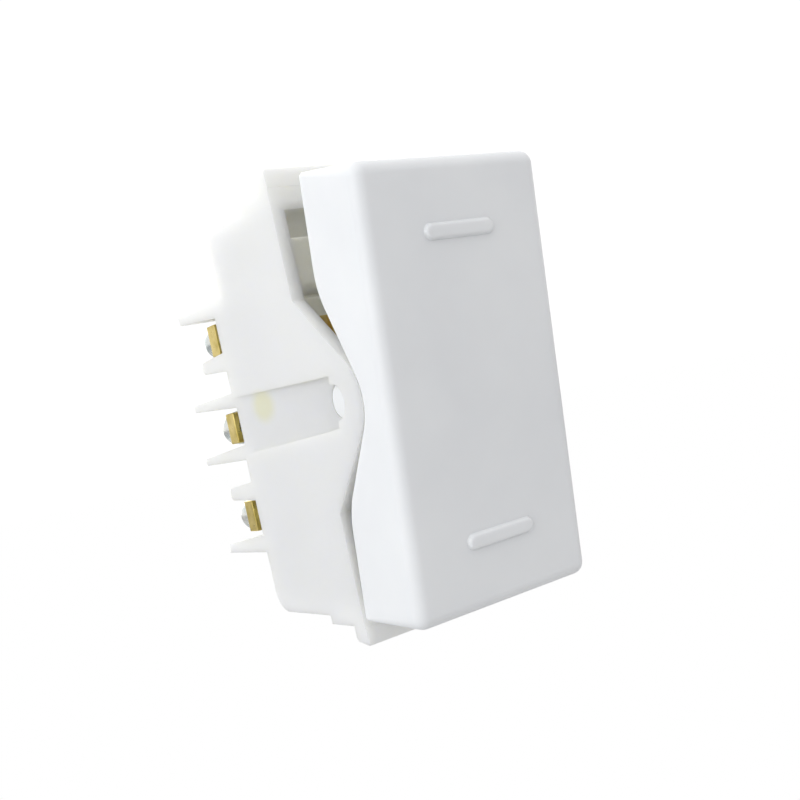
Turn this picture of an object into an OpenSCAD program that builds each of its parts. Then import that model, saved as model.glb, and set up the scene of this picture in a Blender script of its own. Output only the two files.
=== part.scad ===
// Two-way rocker wall-switch module, one place of the 45 x 22.5 mm module format.
// Origin: centre of the module on the seat plane of its mounting lugs.
// X runs across the module, Y from the key (-Y) to the terminals (+Y), Z up.

/* [Key] */
// Width of the rocker key
key_w = 22.4; // [22:0.1:22.6]
// Height of the key's front face
key_h = 44.8; // [44.4:0.1:45]
// Distance from the pivot axis to the key's front face
key_reach = 9.5; // [9:0.1:10.5]
// Tilt of the key to each side of the middle, in degrees
key_tilt = 7.9; // [6:0.1:8]
// Wall of the key's skirt
key_wall = 1.2; // [1:0.1:1.3]
// Rounding of the key's front edges
key_round = 1.5; // [1:0.1:1.8]

/* [Housing] */
// Width of the housing
body_w = 22.2; // [22.2:0.1:22.4]
// Height of the housing's rear half
body_h = 44.6; // [44.4:0.1:45]
// Depth from the lug seat to the rear wall
body_d = 19.2; // [19:0.1:20]
// Wall thickness of the housing
wall = 1.5; // [1.4:0.1:1.6]
// Height over the mounting lugs
lug_h = 50.4; // [50:0.1:51]
// Distance from the lug seat forward to the pivot axis
pivot_fwd = 3.9; // [3.9:0.1:4.1]

/* [Terminals] */
// Height of one terminal above the next
terminal_pitch = 11.05; // [11:0.05:11.1]
// How far the screws stand off the middle plane, towards the left side
screw_off = 7.3; // [7.1:0.1:7.3]
// Radius of the M3 terminal screw
screw_r = 1.5; // [1.5:0.05:1.5]
// Gap left for the wire under an open clamp plate
wire_gap = 4; // [3.8:0.1:4.2]

/* [Contacts] */
// Bend of each seesaw arm towards the key, in degrees
arm_bend = 12; // [11:0.5:12.5]
// Seesaw turn for each degree that the key turns
seesaw_ratio = 1.1; // [1.05:0.05:1.1]
// Distance along a seesaw arm to its contact
contact_reach = 8.2; // [8:0.1:8.4]

/* [Hidden] */
$fn = 48;
slop = 0.05;      // running clearance on radius, and beside parts slid into windows
eps = 0.01;

// Key, measured from the pivot axis
face_t = 1.8;
skirt_end = 0.3;          // rear edge of the skirt
skirt_flare = 0.45;       // how much each end of the skirt spreads towards the rear
ear_r = 5.1;              // rounded nose of the housing's pivot ear
notch_r = 5.35;           // hollow in the skirt that clears the ear
notch_lean = 30;          // lean of the notch's straight flanks from the vertical
notch_ease = 8;           // rounding between flank and rear edge
bar_h = 1.5;
bar_w = 8.3;
bar_z = 15.2;
bar_out = 0.4;
boss_r = 3.6;             // tube that guides the plunger
boss_end = 4.6;
boss_bore = 2.2;
boss_floor = -6.5;
cheek_in = 8.1;
cheek_out = 9.2;
cheek_r = 3.2;
trunnion_r = 1.8;
trunnion_end = body_w / 2 - 0.8;

// Housing
pivot_y = -pivot_fwd;
pivot_bore_r = trunnion_r + slop;
lug_t = 2.35;
rim_back = 0.1;           // front rim between the lugs, behind the plane of their seats
shoulder_d = 7;
shoulder_h = 46.5;
top_rear = 16.5;          // rear face above the top barrier, stepped forward of the rest
top_rear_z = 15.2;
rear_round = 2.6;
channel_deep = 0.8;       // sunken side channel from the rear to the pivot, at the pivot
channel_shallow = 0.25;   // and at the rear wall
channel_front = 2.7;
channel_rear = 4.1;
channel_start = 0.25;     // channel's front end, behind the pivot axis
inner_x = body_w / 2 - wall;
inner_z = body_h / 2 - wall;
inner_y = body_d - wall;
window_h = 3.9;
rib_t = 1.2;

// Terminals, screws and clamps
strip_t = 0.8;
strip_h = 3.8;
leg_t = 0.5;              // terminal leg, rolled thinner beside the screw
leg_x = -inner_x + 0.2;   // outer face of every terminal leg
pad_right = -screw_off + 1.8;
pad_front = inner_y + 0.4;
pad_rear = body_d + 0.4;
clamp_w = 4.4;
clamp_t = 2.2;
clamp_h = 3.8;
head_r = 2.1;
head_side = 2.1;
head_dome = 1;
screw_in = 8.8;           // thread length under the head
terminal_zs = [terminal_pitch, 0, -terminal_pitch];
// How far each screw stands back from the same nominal place
screw_backs = [-0.3, 0, 0.2];

// Seesaw contact
fulcrum_y = 8.7;
blade_front = -1.95;      // front of the blade's middle, from the fulcrum axis
blade_t = 0.8;
blade_w = 6.6;
arm_len = 9.6;
pin_r = 0.9;
pin_len = 9.8;
seesaw_ear_r = 1.5;
bracket_in = 3.9;
bracket_out = 4.7;
bracket_plate = 10.4;
rivet_head_r = 1.5;
rivet_head_t = 0.7;
rivet_tail_r = 0.8;
contact_gap = 0.08;       // left between closed contacts
plunger_r = boss_bore - 0.06;
plunger_tip_r = 1.2;
plunger_tip_y = 9.3;      // centre of the plunger's ball tip, from the pivot axis
plunger_front = -0.6;
pocket_r = 1.6;
pocket_end = 3;
spring_r = 1.1;
spring_wire = 0.22;
spring_turns = 8;

// Points of an arc about (cx, cy)
function arc(cx, cy, r, from, to, n = 10) =
    [for (i = [0:n]) let (a = from + (to - from) * i / n) [cx + r * cos(a), cy + r * sin(a)]];

// Upper half followed by its mirror image, as one closed outline
function mirrored(half) =
    concat(half, [for (i = [len(half) - 1:-1:0]) [half[i][0], -half[i][1]]]);

// Extrudes a (Y, Z) outline across the module, centred on X
module across(w) rotate([90, 0, 90]) linear_extrude(w, center = true) children();

// Extrudes a (Y, Z) outline from x0 to x1
module between(x0, x1) translate([(x0 + x1) / 2, 0, 0]) across(x1 - x0) children();

// Cylinder along X, centred
module rod_x(r, len) rotate([0, 90, 0]) cylinder(r = r, h = len, center = true);

// Turns (r, z) profiles so that their axis runs rearwards
module along_y() rotate([-90, 0, 0]) children();

module box(x0, x1, y0, y1, z0, z1) translate([x0, y0, z0]) cube([x1 - x0, y1 - y0, z1 - z0]);

// The key's own frame: pivot axis at the origin, tilted to its rest position
module on_key() translate([0, pivot_y, 0]) rotate([key_tilt, 0, 0]) children();

// The seesaw's own frame: fulcrum axis at the origin, tilted to its rest position
module on_seesaw() translate([0, fulcrum_y, 0]) rotate([-key_tilt * seesaw_ratio, 0, 0]) children();

// ---------------------------------------------------------------- key

function key_half() = let (
        top = key_h / 2,
        front = -key_reach,
        ease_y = skirt_end - notch_ease,
        ease_z = (notch_r + notch_ease + cos(notch_lean) * ease_y) / sin(notch_lean))
    concat(arc(0, 0, notch_r, 180, 180 - notch_lean),
           arc(ease_y, ease_z, notch_ease, -notch_lean, 0),
           [[skirt_end, top + skirt_flare]],
           arc(front + key_round, top - key_round, key_round, 90, 180));

module key_plan() {
    front = -key_reach;
    half = key_w / 2;
    polygon(concat(arc(-half + key_round, front + key_round, key_round, 180, 270),
                   arc(half - key_round, front + key_round, key_round, 270, 360),
                   [[half, boss_end], [-half, boss_end]]));
}

module key_shell() {
    inside = key_reach - face_t;
    clear_z = key_h / 2 - key_wall - 0.1;
    difference() {
        intersection() {
            across(key_w + 1) polygon(mirrored(key_half()));
            translate([0, 0, -key_h]) linear_extrude(2 * key_h) key_plan();
        }
        box(-key_w / 2 + key_wall, key_w / 2 - key_wall, -inside, boss_end, -clear_z, clear_z);
    }
}

module press_bar(side) {
    translate([0, -key_reach, side * bar_z]) rotate([90, 0, 0]) {
        cube([bar_w - bar_h, bar_h, 2 * bar_out], center = true);
        for (end = [-1, 1]) translate([end * (bar_w - bar_h) / 2, 0, 0])
            cylinder(d = bar_h, h = 2 * bar_out, center = true);
    }
}

module key_cheek(side) {
    between(side > 0 ? cheek_in : -cheek_out, side > 0 ? cheek_out : -cheek_in) {
        translate([-key_reach + face_t - eps, -cheek_r])
            square([key_reach - face_t + eps, 2 * cheek_r]);
        circle(cheek_r);
    }
    translate([side * (cheek_in + trunnion_end) / 2, 0, 0])
        rod_x(trunnion_r, trunnion_end - cheek_in);
}

module rocker_key() color([0.93, 0.94, 0.95]) on_key() {
    key_shell();
    for (side = [-1, 1]) {
        press_bar(side);
        key_cheek(side);
    }
    difference() {
        union() {
            translate([0, -key_reach + face_t - eps, 0]) along_y()
                cylinder(r = boss_r, h = boss_end + key_reach - face_t);
            box(-rib_t / 2, rib_t / 2, -key_reach + face_t - eps, -3, -21.4, 21.4);
        }
        translate([0, boss_floor, 0]) along_y() cylinder(r = boss_bore, h = 20);
    }
}

// ---------------------------------------------------------------- plunger

module plunger() color([0.55, 0.42, 0.28]) on_key() {
    difference() {
        union() {
            translate([0, plunger_front, 0]) along_y()
                cylinder(r = plunger_r, h = plunger_tip_y - 2 - plunger_front);
            translate([0, plunger_tip_y - 2, 0]) along_y()
                cylinder(r1 = plunger_r, r2 = plunger_tip_r, h = 2);
            translate([0, plunger_tip_y, 0]) sphere(plunger_tip_r);
        }
        translate([0, plunger_front - 1, 0]) along_y()
            cylinder(r = pocket_r, h = pocket_end - plunger_front + 1);
    }
}

// Rings of the helix, joined side by side into one closed skin
module coil(r, wire, turns, len, sides = 8, steps = 14) {
    rings = turns * steps;
    points = [for (i = [0:rings]) for (j = [0:sides - 1])
        let (a = 360 * i / steps, b = 360 * j / sides, s = r + wire * cos(b))
        [s * cos(a), s * sin(a), len * i / rings + wire * sin(b)]];
    skin = [for (i = [0:rings - 1]) for (j = [0:sides - 1])
        let (k = (j + 1) % sides)
        [i * sides + j, i * sides + k, (i + 1) * sides + k, (i + 1) * sides + j]];
    first = [for (j = [sides - 1:-1:0]) j];
    last = [for (j = [0:sides - 1]) rings * sides + j];
    polyhedron(points, concat(skin, [first, last]));
}

module plunger_spring() color("silver") on_key()
    translate([0, boss_floor + 2 * spring_wire, 0]) along_y()
        coil(spring_r, spring_wire, spring_turns, pocket_end - boss_floor - 4 * spring_wire);

// ---------------------------------------------------------------- housing

function side_half() = let (
        nose = arc(pivot_y, 0, ear_r, 180, 135),
        corner = ear_r / cos(45) + pivot_fwd + rim_back)
    concat(nose, [[rim_back, corner], [rim_back, shoulder_h / 2], [0, shoulder_h / 2],
                  [0, lug_h / 2], [lug_t - 0.3, lug_h / 2 - 0.35],
                  [lug_t, lug_h / 2 - 0.7], [lug_t, shoulder_h / 2],
                  [shoulder_d, shoulder_h / 2], [shoulder_d, body_h / 2]]);

module side_outline() {
    half = body_h / 2;
    upper = concat(side_half(), arc(top_rear - 1, half - 1, 1, 90, 0, 6),
                   [[top_rear, top_rear_z], [body_d, top_rear_z], [body_d, 0]]);
    lower = concat(arc(body_d - rear_round, -half + rear_round, rear_round, 0, -90),
                   [for (i = [len(side_half()) - 1:-1:0]) [side_half()[i][0], -side_half()[i][1]]]);
    polygon(concat(upper, lower));
}

module cavity_outline() {
    polygon([[-12, -inner_z], [inner_y - 1, -inner_z], [inner_y, -inner_z + 1],
             [inner_y, top_rear_z - wall], [top_rear - wall, top_rear_z - wall],
             [top_rear - wall, inner_z], [-12, inner_z]]);
}

// Barrier that stays outside the terminals: flat outer side, square tip
module outer_barrier() polygon([[top_rear - wall, top_rear_z], [29.8, top_rear_z],
                                [29.5, 14.1], [body_d - 0.1, 13.15], [top_rear - wall, 13.15]]);

// Short barrier with a round tip
module inner_barrier() {
    polygon([[inner_y, 6.6], [25.1, 7.15], [25, 8.65], [inner_y, 9]]);
    translate([25, 7.9]) circle(0.75);
}

// Long barrier beside the common terminal, also with a round tip
module middle_barrier() {
    polygon([[inner_y, channel_rear], [31.1, 3.9], [31.1, 3], [inner_y, 2.15]]);
    translate([31.1, 3.45]) circle(0.45);
}

module channel_outline() {
    start = pivot_y + channel_start;
    polygon([[start, channel_front], [body_d + 20, channel_rear], [body_d + 20, -channel_rear],
             [start, -channel_front]]);
}

// Side channel, cut into the right side
module channel() {
    start = pivot_y + channel_start;
    half = body_w / 2;
    intersection() {
        between(half - channel_deep - 1, half + 1) channel_outline();
        translate([0, 0, -8]) linear_extrude(16)
            polygon([[half - channel_deep, start - 1], [half - channel_deep, start],
                     [half - channel_shallow, body_d], [half - channel_shallow, body_d + 1],
                     [half + 1, body_d + 1], [half + 1, start - 1]]);
    }
}

module housing() color([0.9, 0.92, 0.87, 0.85]) {
    lip = body_w / 2 - channel_shallow;
    difference() {
        union() {
            across(body_w) side_outline();
            for (side = [0, 1]) mirror([0, 0, side]) {
                across(body_w) outer_barrier();
                across(body_w) inner_barrier();
                across(2 * lip) middle_barrier();
            }
        }
        across(2 * inner_x) cavity_outline();
        for (side = [0, 1]) mirror([side, 0, 0]) channel();
        translate([0, pivot_y, 0]) rod_x(pivot_bore_r, body_w + 1);
        for (z = terminal_zs)
            box(leg_x - slop, pad_right + slop, inner_y - 1, body_d + 1,
                z - window_h / 2, z + window_h / 2);
    }
    // Ribs behind the two fixed contacts
    for (side = [-1, 1]) for (x = [-5.5, 3.2])
        box(x, x + rib_t, fixed_plate_y() + strip_t, inner_y + eps,
            side * fixed_z() - 1.6, side * fixed_z() + 1.6);
}

// ---------------------------------------------------------------- contacts

// Turns a (Y, Z) point of the seesaw's frame by the rest tilt
function at_rest(p) = let (a = -key_tilt * seesaw_ratio)
    [p[0] * cos(a) - p[1] * sin(a), p[0] * sin(a) + p[1] * cos(a)];

// Centre of the upper moving contact's face, in the seesaw's frame
function contact_face() = let (
        back = blade_front + blade_t / cos(arm_bend))
    [back - contact_reach * sin(arm_bend) + rivet_head_t * cos(arm_bend),
     contact_reach * cos(arm_bend) + rivet_head_t * sin(arm_bend)];

function fixed_z() = at_rest(contact_face())[1];
function fixed_plate_y() = fulcrum_y + at_rest(contact_face())[0] + contact_gap + rivet_head_t;

module seesaw_blade() color([0.85, 0.68, 0.35]) on_seesaw() {
    s = sin(arm_bend);
    c = cos(arm_bend);
    back = blade_front + blade_t / c;
    difference() {
        across(blade_w) polygon(mirrored([[blade_front, 0],
            [blade_front - arm_len * s, arm_len * c],
            [blade_front - arm_len * s + blade_t * c, arm_len * c + blade_t * s], [back, 0]]));
        for (side = [-1, 1]) translate([0, back - contact_reach * s,
                                        side * contact_reach * c])
            rotate([side * arm_bend, 0, 0]) translate([0, -2, 0]) along_y()
                cylinder(r = rivet_tail_r + slop / 2, h = 4);
    }
    for (side = [-1, 1]) difference() {
        between(side > 0 ? 2.5 : -3.3, side > 0 ? 3.3 : -2.5) {
            circle(seesaw_ear_r);
            translate([back - 0.1, -seesaw_ear_r]) square([-back + 0.1, 2 * seesaw_ear_r]);
        }
        rod_x(pin_r + slop, 20);
    }
}

// Contact rivet with its head towards +Y and its tail towards -Y, origin under the head
module rivet(grip) along_y() {
    cylinder(r = rivet_head_r, h = rivet_head_t - 0.3);
    translate([0, 0, rivet_head_t - 0.3])
        cylinder(r1 = rivet_head_r, r2 = rivet_head_r - 0.5, h = 0.3);
    translate([0, 0, -grip - 0.2]) cylinder(r = rivet_tail_r, h = grip + 0.2 + eps);
    translate([0, 0, -grip - 0.35]) cylinder(r = 1.1, h = 0.35);
}

module moving_contact(side) color("silver") on_seesaw()
    translate([0, blade_front + blade_t / cos(arm_bend) - contact_reach * sin(arm_bend),
               side * contact_reach * cos(arm_bend)])
        rotate([side * arm_bend, 0, 0]) rivet(blade_t);

module moving_contact_upper() moving_contact(1);
module moving_contact_lower() moving_contact(-1);

module fixed_contact(side) color("silver")
    translate([0, fixed_plate_y(), side * fixed_z()]) mirror([0, 1, 0]) rivet(strip_t);

module fixed_contact_upper() fixed_contact(1);
module fixed_contact_lower() fixed_contact(-1);

module seesaw_pin() color([0.75, 0.77, 0.8]) translate([0, fulcrum_y, 0]) rod_x(pin_r, pin_len);

// ---------------------------------------------------------------- terminals

// Leg along the left wall and the tapped pad that fills a window in the rear wall
module leg_and_pad(z, front) difference() {
    union() {
        box(leg_x, leg_x + leg_t, front, pad_front + eps, z - strip_h / 2, z + strip_h / 2);
        box(leg_x, pad_right, pad_front, pad_rear, z - strip_h / 2, z + strip_h / 2);
    }
    translate([-screw_off, pad_front - 1, z]) along_y()
        cylinder(r = screw_r + 0.03, h = pad_rear - pad_front + 2);
}

module throw_terminal(side) color([0.85, 0.68, 0.35]) {
    z = side * fixed_z();
    y = fixed_plate_y();
    leg_and_pad(side * terminal_pitch, y);
    low = min(z - 1.9, side * terminal_pitch - strip_h / 2);
    high = max(z + 1.9, side * terminal_pitch + strip_h / 2);
    difference() {
        union() {
            box(leg_x, leg_x + 2, y, y + strip_t, low, high);
            box(leg_x + 1.9, 4.4, y, y + strip_t, z - 1.9, z + 1.9);
        }
        translate([0, y - 1, z]) along_y() cylinder(r = rivet_tail_r + slop / 2, h = 3);
    }
}

module upper_terminal() throw_terminal(1);
module lower_terminal() throw_terminal(-1);

module common_terminal() color([0.85, 0.68, 0.35]) {
    leg_and_pad(0, bracket_plate);
    box(leg_x, bracket_out, bracket_plate, bracket_plate + strip_t, -strip_h / 2, strip_h / 2);
    for (side = [-1, 1]) difference() {
        between(side > 0 ? bracket_in : -bracket_out, side > 0 ? bracket_out : -bracket_in) {
            translate([fulcrum_y, 0]) circle(strip_h / 2);
            translate([fulcrum_y, -strip_h / 2])
                square([bracket_plate - fulcrum_y + eps, strip_h]);
        }
        translate([0, fulcrum_y, 0]) rod_x(pin_r + 0.02, 20);
    }
}

// ---------------------------------------------------------------- clamps and screws

function clamp_y(i) = pad_rear + wire_gap + screw_backs[i];

module clamp_plate(i) color([0.86, 0.7, 0.36])
    translate([-screw_off, clamp_y(i), terminal_zs[i]]) difference() {
        box(-clamp_w / 2, clamp_w / 2, 0, clamp_t, -clamp_h / 2, clamp_h / 2);
        translate([0, -1, 0]) along_y() cylinder(r = screw_r + 0.08, h = clamp_t + 2);
    }

module upper_clamp_plate() clamp_plate(0);
module common_clamp_plate() clamp_plate(1);
module lower_clamp_plate() clamp_plate(2);

module terminal_screw(i) color([0.75, 0.8, 0.82])
    translate([-screw_off, clamp_y(i) + clamp_t + slop, terminal_zs[i]]) along_y()
        difference() {
            union() {
                translate([0, 0, -screw_in]) cylinder(r = screw_r, h = screw_in + eps);
                cylinder(r = head_r, h = head_side);
                translate([0, 0, head_side]) cylinder(r1 = head_r, r2 = head_r - 0.75, h = head_dome);
            }
            for (turn = [0, 90]) rotate([0, 0, 45 + turn])
                translate([-3, -0.3, head_side + head_dome - 1]) cube([6, 0.6, 2]);
        }

module upper_terminal_screw() terminal_screw(0);
module common_terminal_screw() terminal_screw(1);
module lower_terminal_screw() terminal_screw(2);

housing();
rocker_key();
plunger();
plunger_spring();
seesaw_blade();
moving_contact_upper();
moving_contact_lower();
seesaw_pin();
common_terminal();
upper_terminal();
lower_terminal();
fixed_contact_upper();
fixed_contact_lower();
upper_clamp_plate();
common_clamp_plate();
lower_clamp_plate();
upper_terminal_screw();
common_terminal_screw();
lower_terminal_screw();
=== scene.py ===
"""Looks of the two-way rocker wall switch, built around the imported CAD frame.

Lengths in the shape code are millimetres in the row frame, or in the key's own
frame where a function says so, and are turned to metres when a mesh is made.
"""

import math

import bmesh
import bpy
from mathutils import Matrix, Vector


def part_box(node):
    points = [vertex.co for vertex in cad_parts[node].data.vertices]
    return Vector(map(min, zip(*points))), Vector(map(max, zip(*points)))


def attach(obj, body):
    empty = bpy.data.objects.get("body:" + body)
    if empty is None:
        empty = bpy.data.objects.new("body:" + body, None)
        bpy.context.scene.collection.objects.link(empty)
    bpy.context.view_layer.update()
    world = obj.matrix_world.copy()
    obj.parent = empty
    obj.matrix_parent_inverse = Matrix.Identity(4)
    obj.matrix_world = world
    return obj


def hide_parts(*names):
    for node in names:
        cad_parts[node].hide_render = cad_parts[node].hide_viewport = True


MM = 0.001
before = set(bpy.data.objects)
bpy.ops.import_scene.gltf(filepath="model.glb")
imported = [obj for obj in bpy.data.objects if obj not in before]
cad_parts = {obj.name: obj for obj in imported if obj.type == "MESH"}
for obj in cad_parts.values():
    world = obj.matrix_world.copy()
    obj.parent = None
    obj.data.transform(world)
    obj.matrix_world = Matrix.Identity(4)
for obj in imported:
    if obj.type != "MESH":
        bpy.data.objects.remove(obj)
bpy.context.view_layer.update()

# Key, in its own frame: pivot axis at the origin, front face towards -Y
KEY_W, KEY_H = 22.4, 44.8
KEY_FRONT = -9.5
KEY_ROUND = 1.35
KEY_TILT = math.radians(7.9)
PIVOT_Y = -3.9
SKIRT_END, SKIRT_FLARE = 0.3, 0.45
SKIRT_CORNER = 0.5
INNER_W, INNER_H, INNER_FACE = 20.0, 42.2, -7.7
EDGE = 0.22
NOTCH_R, NOTCH_LEAN, NOTCH_EASE = 5.35, math.radians(30), 8.0

# Screws
SCREW_X = -7.3
SCREW_Z = {"upper": 11.05, "common": 0.0, "lower": -11.05}
THREAD_R, THREAD_PITCH, THREAD_LEN = 1.5, 0.5, 8.8
HEAD_R, HEAD_SIDE, HEAD_TOP = 2.1, 1.65, 3.1

# Camera
CAMERA_LENS = 47.19
CAMERA_AT = (-0.06423, -0.09450, -0.00161)  # metres
CAMERA_RIGHT = (0.8104, -0.5431, -0.2199)
CAMERA_BACK = (-0.5575, -0.8302, -0.0041)

# Surroundings
BRIGHT_SIDE = (0.557, 0.830, 0.018)  # the white backdrop, behind the part as the camera sees it
AROUND = (0.64, 1.22)  # brightness of the surroundings opposite the backdrop, and at it
BACKDROP_SEEN = 1.05  # brightness that the camera itself sees
FLOOR_HALF, FLOOR_Z = 4.0, -0.11  # metres

ON_KEY = Matrix.Translation((0, PIVOT_Y, 0)) @ Matrix.Rotation(KEY_TILT, 4, "X")


# ---------------------------------------------------------------- materials


def mixed(tree, coords, scale, detail, low, high, stretch=(1, 1, 1)):
    """A colour or grey that wanders between low and high, with features 1/scale mm wide."""
    mapping = tree.nodes.new("ShaderNodeMapping")
    mapping.inputs["Scale"].default_value = [s * scale / MM for s in stretch]
    noise = tree.nodes.new("ShaderNodeTexNoise")
    noise.inputs["Scale"].default_value = 1.0
    noise.inputs["Detail"].default_value = detail
    ramp = tree.nodes.new("ShaderNodeValToRGB")
    ramp.color_ramp.elements[0].position = 0.32
    ramp.color_ramp.elements[1].position = 0.68
    ramp.color_ramp.elements[0].color = (*low, 1)
    ramp.color_ramp.elements[1].color = (*high, 1)
    tree.links.new(coords, mapping.inputs["Vector"])
    tree.links.new(mapping.outputs["Vector"], noise.inputs["Vector"])
    tree.links.new(noise.outputs["Fac"], ramp.inputs["Fac"])
    return ramp.outputs["Color"]


def material(name, colours, colour_scale, rough, rough_scale, bumps, stretch=(1, 1, 1), **sockets):
    """Principled material: colour and roughness wander, and each bump is (scale per mm, height mm)."""
    made = bpy.data.materials.new(name)
    made.use_nodes = True
    tree = made.node_tree
    shader = tree.nodes["Principled BSDF"]
    coords = tree.nodes.new("ShaderNodeTexCoord").outputs["Object"]
    tree.links.new(mixed(tree, coords, colour_scale, 3, *colours), shader.inputs["Base Color"])
    greys = [(r,) * 3 for r in rough]
    tree.links.new(
        mixed(tree, coords, rough_scale, 4, *greys, stretch=stretch), shader.inputs["Roughness"]
    )
    normal = None
    for scale, height in bumps:
        bump = tree.nodes.new("ShaderNodeBump")
        bump.inputs["Distance"].default_value = height * MM
        bump.inputs["Strength"].default_value = 1.0
        tree.links.new(
            mixed(tree, coords, scale, 2, (0, 0, 0), (1, 1, 1), stretch=stretch),
            bump.inputs["Height"],
        )
        if normal:
            tree.links.new(normal, bump.inputs["Normal"])
        normal = bump.outputs["Normal"]
    tree.links.new(normal, shader.inputs["Normal"])
    for socket, value in sockets.items():
        shader.inputs[socket.replace("_", " ")].default_value = value
    return made


MATERIALS = {
    "key_white": material(
        "key_white", [(0.80, 0.81, 0.83), (0.84, 0.85, 0.865)], 0.08, (0.33, 0.41), 0.5,
        [(0.09, 0.010), (9.0, 0.0006)], IOR=1.5, Subsurface_Weight=0.25,
        Subsurface_Radius=(1.0, 0.95, 0.9), Subsurface_Scale=0.6 * MM),
    "nylon": material(
        "nylon", [(0.988, 0.993, 0.89), (0.992, 0.996, 0.915)], 0.12, (0.38, 0.52), 0.4,
        [(0.22, 0.012), (6.0, 0.0015)], IOR=1.5, Subsurface_Weight=1.0,
        Subsurface_Radius=(1.0, 0.98, 0.88), Subsurface_Scale=3.2 * MM,
        Transmission_Weight=0.12),
    "phenolic": material(
        "phenolic", [(0.16, 0.075, 0.03), (0.24, 0.12, 0.055)], 0.8, (0.4, 0.55), 1.5,
        [(4.0, 0.004)], IOR=1.55),
    "spring_steel": material(
        "spring_steel", [(0.50, 0.50, 0.51), (0.64, 0.64, 0.65)], 0.9, (0.22, 0.36), 3.0,
        [(5.0, 0.002)], Metallic=1.0),
    "pin_steel": material(
        "pin_steel", [(0.54, 0.54, 0.55), (0.62, 0.62, 0.64)], 0.6, (0.18, 0.30), 2.0,
        [(3.0, 0.002)], stretch=(0.2, 1, 1), Metallic=1.0),
    "contact_silver": material(
        "contact_silver", [(0.74, 0.73, 0.70), (0.86, 0.85, 0.82)], 1.2, (0.25, 0.45), 2.0,
        [(3.0, 0.003)], Metallic=1.0),
    "blade_brass": material(
        "blade_brass", [(0.60, 0.43, 0.13), (0.76, 0.58, 0.22)], 0.5, (0.24, 0.40), 1.5,
        [(5.0, 0.003)], stretch=(1, 1, 0.08), Metallic=1.0),
    "terminal_brass": material(
        "terminal_brass", [(0.62, 0.47, 0.15), (0.79, 0.63, 0.26)], 0.35, (0.24, 0.42), 1.2,
        [(5.0, 0.003)], stretch=(1, 0.08, 1), Metallic=1.0),
    "clamp_brass": material(
        "clamp_brass", [(0.54, 0.42, 0.11), (0.72, 0.58, 0.22)], 0.7, (0.26, 0.44), 1.6,
        [(2.5, 0.008), (9.0, 0.002)], Metallic=1.0),
    "zinc_screw": material(
        "zinc_screw", [(0.62, 0.69, 0.70), (0.80, 0.80, 0.76)], 0.9, (0.20, 0.36), 2.0,
        [(6.0, 0.002)], Metallic=1.0),
}


def painted_show_through(made, middle, reach, painted_colour):
    """Paints a soft tint into the material round one place (mm): painted shade and brass-yellow light,
    as a brass leg behind a thin translucent wall shows.
    """
    tree = made.node_tree
    base = tree.nodes["Principled BSDF"].inputs["Base Color"]
    plain = base.links[0].from_socket
    mapping = tree.nodes.new("ShaderNodeMapping")
    mapping.inputs["Scale"].default_value = [1 / (r * MM) for r in reach]
    mapping.inputs["Location"].default_value = [-m / r for m, r in zip(middle, reach)]
    coords = tree.nodes.new("ShaderNodeTexCoord").outputs["Object"]
    tree.links.new(coords, mapping.inputs["Vector"])
    away = tree.nodes.new("ShaderNodeVectorMath")
    away.operation = "LENGTH"
    tree.links.new(mapping.outputs["Vector"], away.inputs[0])
    painted_mask = tree.nodes.new("ShaderNodeMapRange")
    painted_mask.interpolation_type = "SMOOTHSTEP"
    painted_mask.inputs["From Min"].default_value, painted_mask.inputs["From Max"].default_value = 0.35, 1.0
    painted_mask.inputs["To Min"].default_value, painted_mask.inputs["To Max"].default_value = 1.0, 0.0
    tree.links.new(away.outputs["Value"], painted_mask.inputs["Value"])
    # painted shade and light: the nylon's colour is pulled towards the painted tint near the leg,
    # where the mask is high
    mix = tree.nodes.new("ShaderNodeMix")
    mix.data_type = "RGBA"
    ins = [i for i in mix.inputs if i.type == "RGBA"]
    ins[1].default_value = (*painted_colour, 1)
    tree.links.new(painted_mask.outputs["Result"], mix.inputs[0])
    tree.links.new(plain, ins[0])
    tree.links.new([o for o in mix.outputs if o.type == "RGBA"][0], base)


# Painted shade and brass-tinted light on the nylon where the common terminal's leg lies behind the
# thin floor of the left channel
painted_show_through(MATERIALS["nylon"], (-10.6, 12.6, 1.6), (1.4, 3.6, 2.6), (0.94, 0.89, 0.60))


# ---------------------------------------------------------------- mesh tools


def add_tube(bm, loops, cap_first=True, cap_last=True, place=Matrix.Identity(4)):
    """Skins a list of closed loops of points in mm, each with the same count."""
    rings = [[bm.verts.new((place @ Vector(p)) * MM) for p in loop] for loop in loops]
    for a, b in zip(rings, rings[1:]):
        for i in range(len(a)):
            k = (i + 1) % len(a)
            bm.faces.new((a[i], a[k], b[k], b[i]))
    if cap_first:
        bm.faces.new(rings[0][::-1])
    if cap_last:
        bm.faces.new(rings[-1])


def add_lathe(bm, profile, place, steps=40):
    """Turns (radius, height) points about Z; a radius of 0 at an end closes it with a point."""
    rings = []
    for r, z in profile:
        if r < 1e-6:
            rings.append([bm.verts.new((place @ Vector((0, 0, z))) * MM)])
        else:
            turn = [2 * math.pi * i / steps for i in range(steps)]
            ring = [place @ Vector((r * math.cos(a), r * math.sin(a), z)) for a in turn]
            rings.append([bm.verts.new(p * MM) for p in ring])
    for a, b in zip(rings, rings[1:]):
        for i in range(steps):
            k = (i + 1) % steps
            if len(a) == 1:
                bm.faces.new((a[0], b[k], b[i]))
            elif len(b) == 1:
                bm.faces.new((a[i], a[k], b[0]))
            else:
                bm.faces.new((a[i], a[k], b[k], b[i]))


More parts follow.
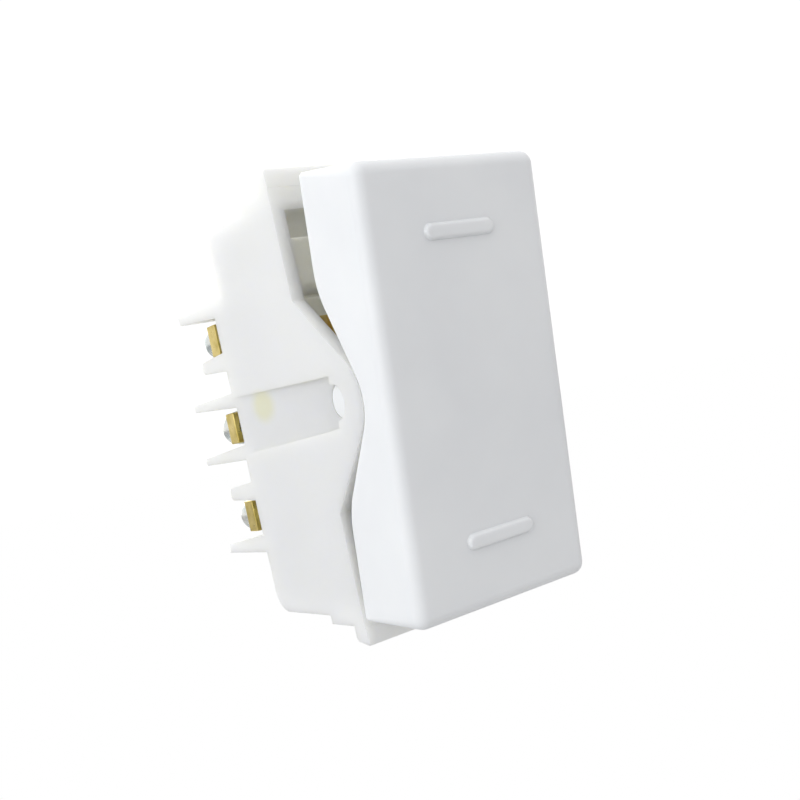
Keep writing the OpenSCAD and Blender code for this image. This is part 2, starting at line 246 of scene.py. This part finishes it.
def add_slab(bm, outline, x0, x1, width, place):
    """Extrudes a (y, z) outline from x0 to x1 with softened rims."""
    inset = [x0, x0 + width * 0.3, x0 + width, x1 - width, x1 - width * 0.3, x1]
    middle = Vector((sum(p[0] for p in outline), sum(p[1] for p in outline))) / len(outline)
    pull = [width, width * 0.3, 0, 0, width * 0.3, width]
    loops = []
    for x, inwards in zip(inset, pull):
        loop = []
        for p in outline:
            away = Vector(p) - middle
            at = middle + away * max(0, 1 - inwards / max(away.length, 1e-6))
            loop.append((x, at.x, at.y))
        loops.append(loop)
    add_tube(bm, loops, place=place)


def finished(bm, name, body, slot, replaced=(), sharp=35):
    """Makes the piece from bm, gives it its material and ties it to its body."""
    bmesh.ops.recalc_face_normals(bm, faces=bm.faces)
    mesh = bpy.data.meshes.new(name)
    bm.to_mesh(mesh)
    bm.free()
    mesh.shade_smooth()
    mesh.set_sharp_from_angle(angle=math.radians(sharp))
    piece = bpy.data.objects.new(name, mesh)
    bpy.context.scene.collection.objects.link(piece)
    weigh = piece.modifiers.new("weighted_normals", "WEIGHTED_NORMAL")
    weigh.keep_sharp = True
    mesh.materials.append(MATERIALS[slot])
    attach(piece, body)
    if replaced:
        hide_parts(*replaced)
    return piece


def softened(node, body, slot, width, segments=3, corner=30):
    """The CAD node's shape with its flat faces merged and its corners rounded."""
    bm = bmesh.new()
    bm.from_mesh(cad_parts[node].data)
    bmesh.ops.remove_doubles(bm, verts=bm.verts, dist=1e-6)
    bmesh.ops.dissolve_limit(
        bm, angle_limit=math.radians(0.6), verts=bm.verts, edges=bm.edges, delimit={"NORMAL"}
    )
    corners = [
        e for e in bm.edges
        if e.is_manifold and e.calc_face_angle(0) > math.radians(corner)
    ]
    bmesh.ops.bevel(
        bm, geom=corners, offset=width * MM, offset_type="OFFSET", segments=segments,
        profile=0.5, affect="EDGES", clamp_overlap=True,
    )
    bmesh.ops.remove_doubles(bm, verts=bm.verts, dist=2e-6)
    return finished(bm, node + "_soft", body, slot, [node])


# ---------------------------------------------------------------- key


def skirt_rear(z):
    """Rear edge of the skirt's sides at height z: hollow round the pivot, flanks, then the rim."""
    z = abs(z)
    lean_y, lean_z = -NOTCH_R * math.cos(NOTCH_LEAN), NOTCH_R * math.sin(NOTCH_LEAN)
    ease_y = SKIRT_END - NOTCH_EASE
    ease_z = (NOTCH_R + NOTCH_EASE + math.cos(NOTCH_LEAN) * ease_y) / math.sin(NOTCH_LEAN)
    if z < lean_z:
        return -math.sqrt(NOTCH_R**2 - z * z)
    if z < ease_z - NOTCH_EASE * math.sin(NOTCH_LEAN):
        return lean_y + (z - lean_z) * math.tan(NOTCH_LEAN)
    if z < ease_z:
        return ease_y + math.sqrt(NOTCH_EASE**2 - (z - ease_z) ** 2)
    return SKIRT_END


def key_perimeter(half_w, half_h, r, side_steps=84, end_steps=12, corner_steps=8):
    """Rounded rectangle as (x, z, along a side?) points, starting at the left side's foot."""
    points = []
    w, h = half_w - r, half_h - r
    corners = [(-w, h, 180), (w, h, 90), (w, -h, 0), (-w, -h, -90)]
    starts = [(-half_w, -h), (-w, half_h), (half_w, h), (w, -half_h)]
    ends = [(-half_w, h), (w, half_h), (half_w, -h), (-w, -half_h)]
    for n in range(4):
        steps = end_steps if n % 2 else side_steps
        for i in range(1, steps):
            t = i / steps
            x = starts[n][0] + (ends[n][0] - starts[n][0]) * t
            z = starts[n][1] + (ends[n][1] - starts[n][1]) * t
            points.append((x, z, n % 2 == 0))
        cx, cz, first = corners[n]
        for i in range(corner_steps + 1):
            a = math.radians(first - 90 * i / corner_steps)
            points.append((cx + r * math.cos(a), cz + r * math.sin(a), False))
    return points


def key_loop(half_w, half_h, r, y_of):
    """One loop of the key's skin; y_of gives the depth for the rear edge at that point."""
    loop = []
    for x, z, on_side in key_perimeter(half_w, half_h, r):
        rear = skirt_rear(z) if on_side else SKIRT_END
        loop.append((x, y_of(rear), z))
    return loop


def key_shell():
    """Front face, rounded edges, skirt with its notches, and the hollow inside."""
    half_w, half_h = KEY_W / 2, KEY_H / 2
    flat = KEY_ROUND + 0.7
    loops = [key_loop(half_w - flat, half_h - flat, 0.2, lambda rear: KEY_FRONT)]
    for i in range(9):
        a = math.radians(90 * i / 8)
        out = KEY_ROUND * (1 - math.sin(a))
        y = KEY_FRONT + KEY_ROUND * (1 - math.cos(a))
        loops.append(
            key_loop(half_w - out, half_h - out, max(KEY_ROUND * math.sin(a), 0.04),
                     lambda rear: y)
        )
    start = KEY_FRONT + KEY_ROUND

    def skirt_loop(t, inwards=0.0, back=0.0):
        corner = KEY_ROUND + (SKIRT_CORNER - KEY_ROUND) * t
        return key_loop(
            half_w - inwards, half_h + SKIRT_FLARE * t - inwards, corner,
            lambda rear: start + (rear - EDGE - start) * t + back,
        )

    loops += [skirt_loop(i / 10) for i in range(1, 11)]
    for a in (30, 60, 90):
        a = math.radians(a)
        loops.append(skirt_loop(1, EDGE * (1 - math.cos(a)), EDGE * math.sin(a)))
    in_w, in_h = INNER_W / 2, INNER_H / 2
    for a in (90, 60, 30, 0):
        a = math.radians(a)
        out = EDGE * (1 - math.cos(a))
        loops.append(
            key_loop(in_w + out, in_h + out, 0.6 + out,
                     lambda rear: rear - EDGE + EDGE * math.sin(a))
        )
    for t in (0.75, 0.5, 0.25, 0):
        loops.append(
            key_loop(in_w, in_h, 0.6,
                     lambda rear: INNER_FACE + 0.4 + (rear - EDGE - INNER_FACE - 0.4) * t)
        )
    for a in (30, 60, 90):
        a = math.radians(a)
        out = 0.4 * (1 - math.cos(a))
        loops.append(
            key_loop(in_w - out, in_h - out, 0.6 - out,
                     lambda rear: INNER_FACE + 0.4 - 0.4 * math.sin(a))
        )
    loops.append(key_loop(in_w - 1, in_h - 1, 0.15, lambda rear: INNER_FACE))
    bm = bmesh.new()
    add_tube(bm, loops, place=ON_KEY)
    return finished(bm, "rocker_key_shell", "key", "key_white", ["rocker_key"], sharp=50)


def press_bars():
    """The two raised bars on the face, each a pill with a soft foot and a round top."""
    bm = bmesh.new()
    length, width, proud = 8.4, 1.5, 0.4
    profile = [(0.14, -0.05), (0.10, 0.008), (0.04, 0.05), (0.0, 0.13), (-0.03, 0.22),
               (-0.09, 0.31), (-0.18, 0.37), (-0.30, proud), (-0.5, proud)]
    for z in (15.2, -15.2):
        loops = []
        for out, up in profile:
            r = width / 2 + out
            loop = []
            for side in (1, -1):
                for i in range(17):
                    a = math.radians(90 - 180 * i / 16)
                    x = side * ((length - width) / 2 + r * math.cos(a))
                    loop.append((x, KEY_FRONT - up, z + side * r * math.sin(a)))
            loops.append(loop)
        add_tube(bm, loops, cap_first=False, place=ON_KEY)
    return finished(bm, "rocker_key_bars", "key", "key_white", sharp=60)


def key_inside():
    """Pivot cheeks with their trunnions, the plunger's guide tube and the stiffening rib."""
    bm = bmesh.new()
    front = INNER_FACE - 0.1
    cheek = [(3.2 * math.cos(math.radians(a)), 3.2 * math.sin(math.radians(a)))
             for a in range(-90, 91, 6)]
    cheek += [(front, 3.2), (front, -3.2)]
    for side in (-1, 1):
        x0, x1 = sorted((side * 8.1, side * 9.2))
        add_slab(bm, cheek, x0, x1, 0.15, ON_KEY)
        turn = Matrix.Rotation(side * math.pi / 2, 4, "Y")
        pin = [(0, 8.3), (1.8, 8.3), (1.8, 10.18), (1.76, 10.26), (1.66, 10.3), (0, 10.3)]
        add_lathe(bm, pin, ON_KEY @ turn)
    along_y = ON_KEY @ Matrix.Rotation(-math.pi / 2, 4, "X")
    tube = [(3.6, front), (3.6, 4.35), (3.53, 4.53), (3.35, 4.6), (2.45, 4.6), (2.27, 4.53),
            (2.2, 4.35), (2.2, -6.5), (0, -6.5)]
    add_lathe(bm, tube, along_y, steps=56)
    rib = [(front, 2.9), (-3.0, 2.9), (-3.0, 20.9), (-3.3, 21.2), (front, 21.2)]
    for side in (-1, 1):
        add_slab(bm, [(y, side * z) for y, z in rib], -0.6, 0.6, 0.12, ON_KEY)
    return finished(bm, "rocker_key_inside", "key", "key_white")


def plunger_spring():
    """Round wire wound from the key's guide tube into the plunger's pocket."""
    bm = bmesh.new()
    radius, wire, turns, start, length = 1.1, 0.22, 8, -6.06, 8.62
    steps, sides = 28, 10
    loops = []
    for i in range(turns * steps + 1):
        a = 2 * math.pi * i / steps
        along = start + length * i / (turns * steps)
        loop = []
        for j in range(sides):
            b = 2 * math.pi * j / sides
            r = radius + wire * math.cos(b)
            loop.append((r * math.cos(a), along + wire * math.sin(b), -r * math.sin(a)))
        loops.append(loop)
    add_tube(bm, loops, place=ON_KEY)
    return finished(bm, "plunger_spring_wire", "key", "spring_steel", ["plunger_spring"])


# ---------------------------------------------------------------- screws


def cross_cutter(place):
    """Cross recess with sloping walls, and the shallow slot that crosses the whole head."""
    bm = bmesh.new()

    def arm(half_long, half_wide, taper, depth, turn):
        around = place @ Matrix.Rotation(math.radians(turn), 4, "Z")
        loops = []
        for z, small in ((HEAD_TOP - depth, taper), (HEAD_TOP + 0.5, 1.0)):
            x, y = half_long * small, half_wide * (0.55 + 0.45 * small)
            loops.append([(-x, -y, z), (x, -y, z), (x, y, z), (-x, y, z)])
        add_tube(bm, loops, place=around)

    arm(1.35, 0.32, 0.35, 1.35, 45)
    arm(1.35, 0.32, 0.35, 1.36, 135)
    arm(3.0, 0.28, 1.0, 0.55, 45)
    bmesh.ops.recalc_face_normals(bm, faces=bm.faces)
    mesh = bpy.data.meshes.new("recess")
    bm.to_mesh(mesh)
    bm.free()
    return mesh


def cut(bm, cutter_mesh):
    """bm less the cutter's volume, by an exact boolean, as a new bmesh."""
    mesh = bpy.data.meshes.new("uncut")
    bmesh.ops.recalc_face_normals(bm, faces=bm.faces)
    bm.to_mesh(mesh)
    bm.free()
    solid = bpy.data.objects.new("uncut", mesh)
    cutter = bpy.data.objects.new("recess", cutter_mesh)
    for o in (solid, cutter):
        bpy.context.scene.collection.objects.link(o)
    boolean = solid.modifiers.new("recess", "BOOLEAN")
    boolean.operation, boolean.solver, boolean.object = "DIFFERENCE", "EXACT", cutter
    boolean.use_self = True
    bpy.context.view_layer.update()
    result = bmesh.new()
    result.from_object(solid, bpy.context.evaluated_depsgraph_get())
    for o in (solid, cutter):
        data = o.data
        bpy.data.objects.remove(o)
        bpy.data.meshes.remove(data)
    return result


def terminal_screw(which):
    """Pan-head screw with a cross recess and a rolled thread; its head sits at the CAD head."""
    node = which + "_terminal_screw"
    low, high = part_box(node)
    under = high.y / MM - HEAD_TOP
    place = (Matrix.Translation((SCREW_X, under, SCREW_Z[which]))
             @ Matrix.Rotation(-math.pi / 2, 4, "X"))
    head = [(0, -0.2), (1.2, -0.2), (1.3, 0.0), (1.92, 0.0), (2.02, 0.05), (HEAD_R, 0.16)]
    head += [(HEAD_R * math.cos(math.radians(a)) ** 0.92,
              HEAD_SIDE + (HEAD_TOP - HEAD_SIDE) * math.sin(math.radians(a)))
             for a in range(0, 90, 6)]
    head += [(0, HEAD_TOP)]
    bm = bmesh.new()
    add_lathe(bm, head, place, steps=64)
    bm = cut(bm, cross_cutter(place))
    # thread: each ring's radius follows the crest round
    steps, per_turn = 28, 8
    rings = int(THREAD_LEN / THREAD_PITCH * per_turn)
    loops = []
    for i in range(rings + 1):
        z = -THREAD_LEN * i / rings
        end = min(1.0, (THREAD_LEN + z) / 0.7)
        loop = []
        for j in range(steps):
            a = 2 * math.pi * j / steps
            phase = (z / THREAD_PITCH - j / steps) % 1
            crest = abs(2 * phase - 1)
            r = THREAD_R - 0.01 - 0.27 * (1 - min(1, crest * 1.15)) - 0.3 * (1 - end)
            loop.append((r * math.cos(a), r * math.sin(a), z))
        loops.append(loop)
    add_tube(bm, loops, place=place)
    return finished(bm, node + "_turned", which + "_screw", "zinc_screw", [node], sharp=38)


# ---------------------------------------------------------------- pieces

key_shell()
press_bars()
key_inside()
plunger_spring()
softened("plunger", "plunger", "phenolic", 0.12)
softened("housing", "housing", "nylon", 0.22)
softened("seesaw_blade", "seesaw", "blade_brass", 0.12)
softened("seesaw_pin", "housing", "pin_steel", 0.15)
for which in ("upper", "lower"):
    softened("moving_contact_" + which, "seesaw", "contact_silver", 0.1)
    softened("fixed_contact_" + which, "housing", "contact_silver", 0.1)
for which in SCREW_Z:
    softened(which + "_terminal", "housing", "terminal_brass", 0.1)
    softened(which + "_clamp_plate", which + "_clamp", "clamp_brass", 0.3)
    terminal_screw(which)


# ---------------------------------------------------------------- stage, light, camera


def floor():
    """A wide floor below the module: grey as a light source, plain white to the camera."""
    bm = bmesh.new()
    bm.faces.new([bm.verts.new((x * FLOOR_HALF, y * FLOOR_HALF, FLOOR_Z))
                  for x, y in ((-1, -1), (1, -1), (1, 1), (-1, 1))])
    mesh = bpy.data.meshes.new("floor")
    bm.to_mesh(mesh)
    bm.free()
    piece = bpy.data.objects.new("floor", mesh)
    bpy.context.scene.collection.objects.link(piece)
    pale = bpy.data.materials.new("floor_white")
    pale.use_nodes = True
    shader = pale.node_tree.nodes["Principled BSDF"]
    shader.inputs["Base Color"].default_value = (0.5, 0.5, 0.5, 1)
    shader.inputs["Roughness"].default_value = 0.9
    shader.inputs["Specular IOR Level"].default_value = 0.1
    tree = pale.node_tree
    glow = tree.nodes.new("ShaderNodeEmission")
    path = tree.nodes.new("ShaderNodeLightPath")
    mix = tree.nodes.new("ShaderNodeMixShader")
    tree.links.new(path.outputs["Is Camera Ray"], mix.inputs["Fac"])
    tree.links.new(shader.outputs["BSDF"], mix.inputs[1])
    tree.links.new(glow.outputs["Emission"], mix.inputs[2])
    tree.links.new(mix.outputs["Shader"], tree.nodes["Material Output"].inputs["Surface"])
    mesh.materials.append(pale)


def light(name, at, look_at, size, power, colour):
    data = bpy.data.lights.new(name, "AREA")
    data.shape, data.size, data.size_y = "RECTANGLE", *size
    data.energy, data.color = power, colour
    lamp = bpy.data.objects.new(name, data)
    bpy.context.scene.collection.objects.link(lamp)
    lamp.location = at
    lamp.rotation_euler = (Vector(look_at) - Vector(at)).to_track_quat("-Z", "Y").to_euler()


def studio():
    """White surroundings, brightest at the backdrop, and three softboxes."""
    world = bpy.data.worlds.new("studio")
    world.use_nodes = True
    tree = world.node_tree
    seen = tree.nodes["Background"]
    seen.inputs["Color"].default_value = (1, 1, 1, 1)
    seen.inputs["Strength"].default_value = BACKDROP_SEEN
    lit = tree.nodes.new("ShaderNodeBackground")
    lit.inputs["Color"].default_value = (1, 1, 1, 1)
    way = tree.nodes.new("ShaderNodeVectorMath")
    way.operation = "DOT_PRODUCT"
    way.inputs[1].default_value = BRIGHT_SIDE
    tree.links.new(tree.nodes.new("ShaderNodeTexCoord").outputs["Generated"], way.inputs[0])
    rise = tree.nodes.new("ShaderNodeMapRange")
    rise.inputs["From Min"].default_value = -1.0
    rise.inputs["To Min"].default_value, rise.inputs["To Max"].default_value = AROUND
    tree.links.new(way.outputs["Value"], rise.inputs["Value"])
    tree.links.new(rise.outputs["Result"], lit.inputs["Strength"])
    path = tree.nodes.new("ShaderNodeLightPath")
    mix = tree.nodes.new("ShaderNodeMixShader")
    tree.links.new(path.outputs["Is Camera Ray"], mix.inputs["Fac"])
    tree.links.new(lit.outputs["Background"], mix.inputs[1])
    tree.links.new(seen.outputs["Background"], mix.inputs[2])
    tree.links.new(mix.outputs["Shader"], tree.nodes["World Output"].inputs["Surface"])
    bpy.context.scene.world = world
    light("left_softbox", (-0.40, -0.10, 0.10), (0, 0, 0), (0.40, 0.50), 0.97, (0.96, 0.985, 1.0))
    light("top_softbox", (0.0, -0.12, 0.42), (0, 0, 0), (0.40, 0.40), 0.20, (1, 1, 1))
    light("back_softbox", (0.10, 0.40, 0.16), (0, 0, 0), (0.40, 0.40), 0.60, (1, 0.99, 0.96))


def camera():
    """Left of the front at the module's height, tilted about its own axis."""
    right = Vector(CAMERA_RIGHT).normalized()
    back = Vector(CAMERA_BACK)
    back = (back - right * back.dot(right)).normalized()
    up = back.cross(right)
    data = bpy.data.cameras.new("camera")
    data.sensor_fit, data.sensor_width = "HORIZONTAL", 36.0
    data.lens = CAMERA_LENS
    data.clip_start, data.clip_end = 0.005, 20
    eye = bpy.data.objects.new("camera", data)
    bpy.context.scene.collection.objects.link(eye)
    turn = Matrix((right, up, back)).transposed().to_4x4()
    eye.matrix_world = Matrix.Translation(CAMERA_AT) @ turn
    bpy.context.scene.camera = eye


floor()
studio()
camera()
bpy.context.scene.view_settings.view_transform = "Standard"
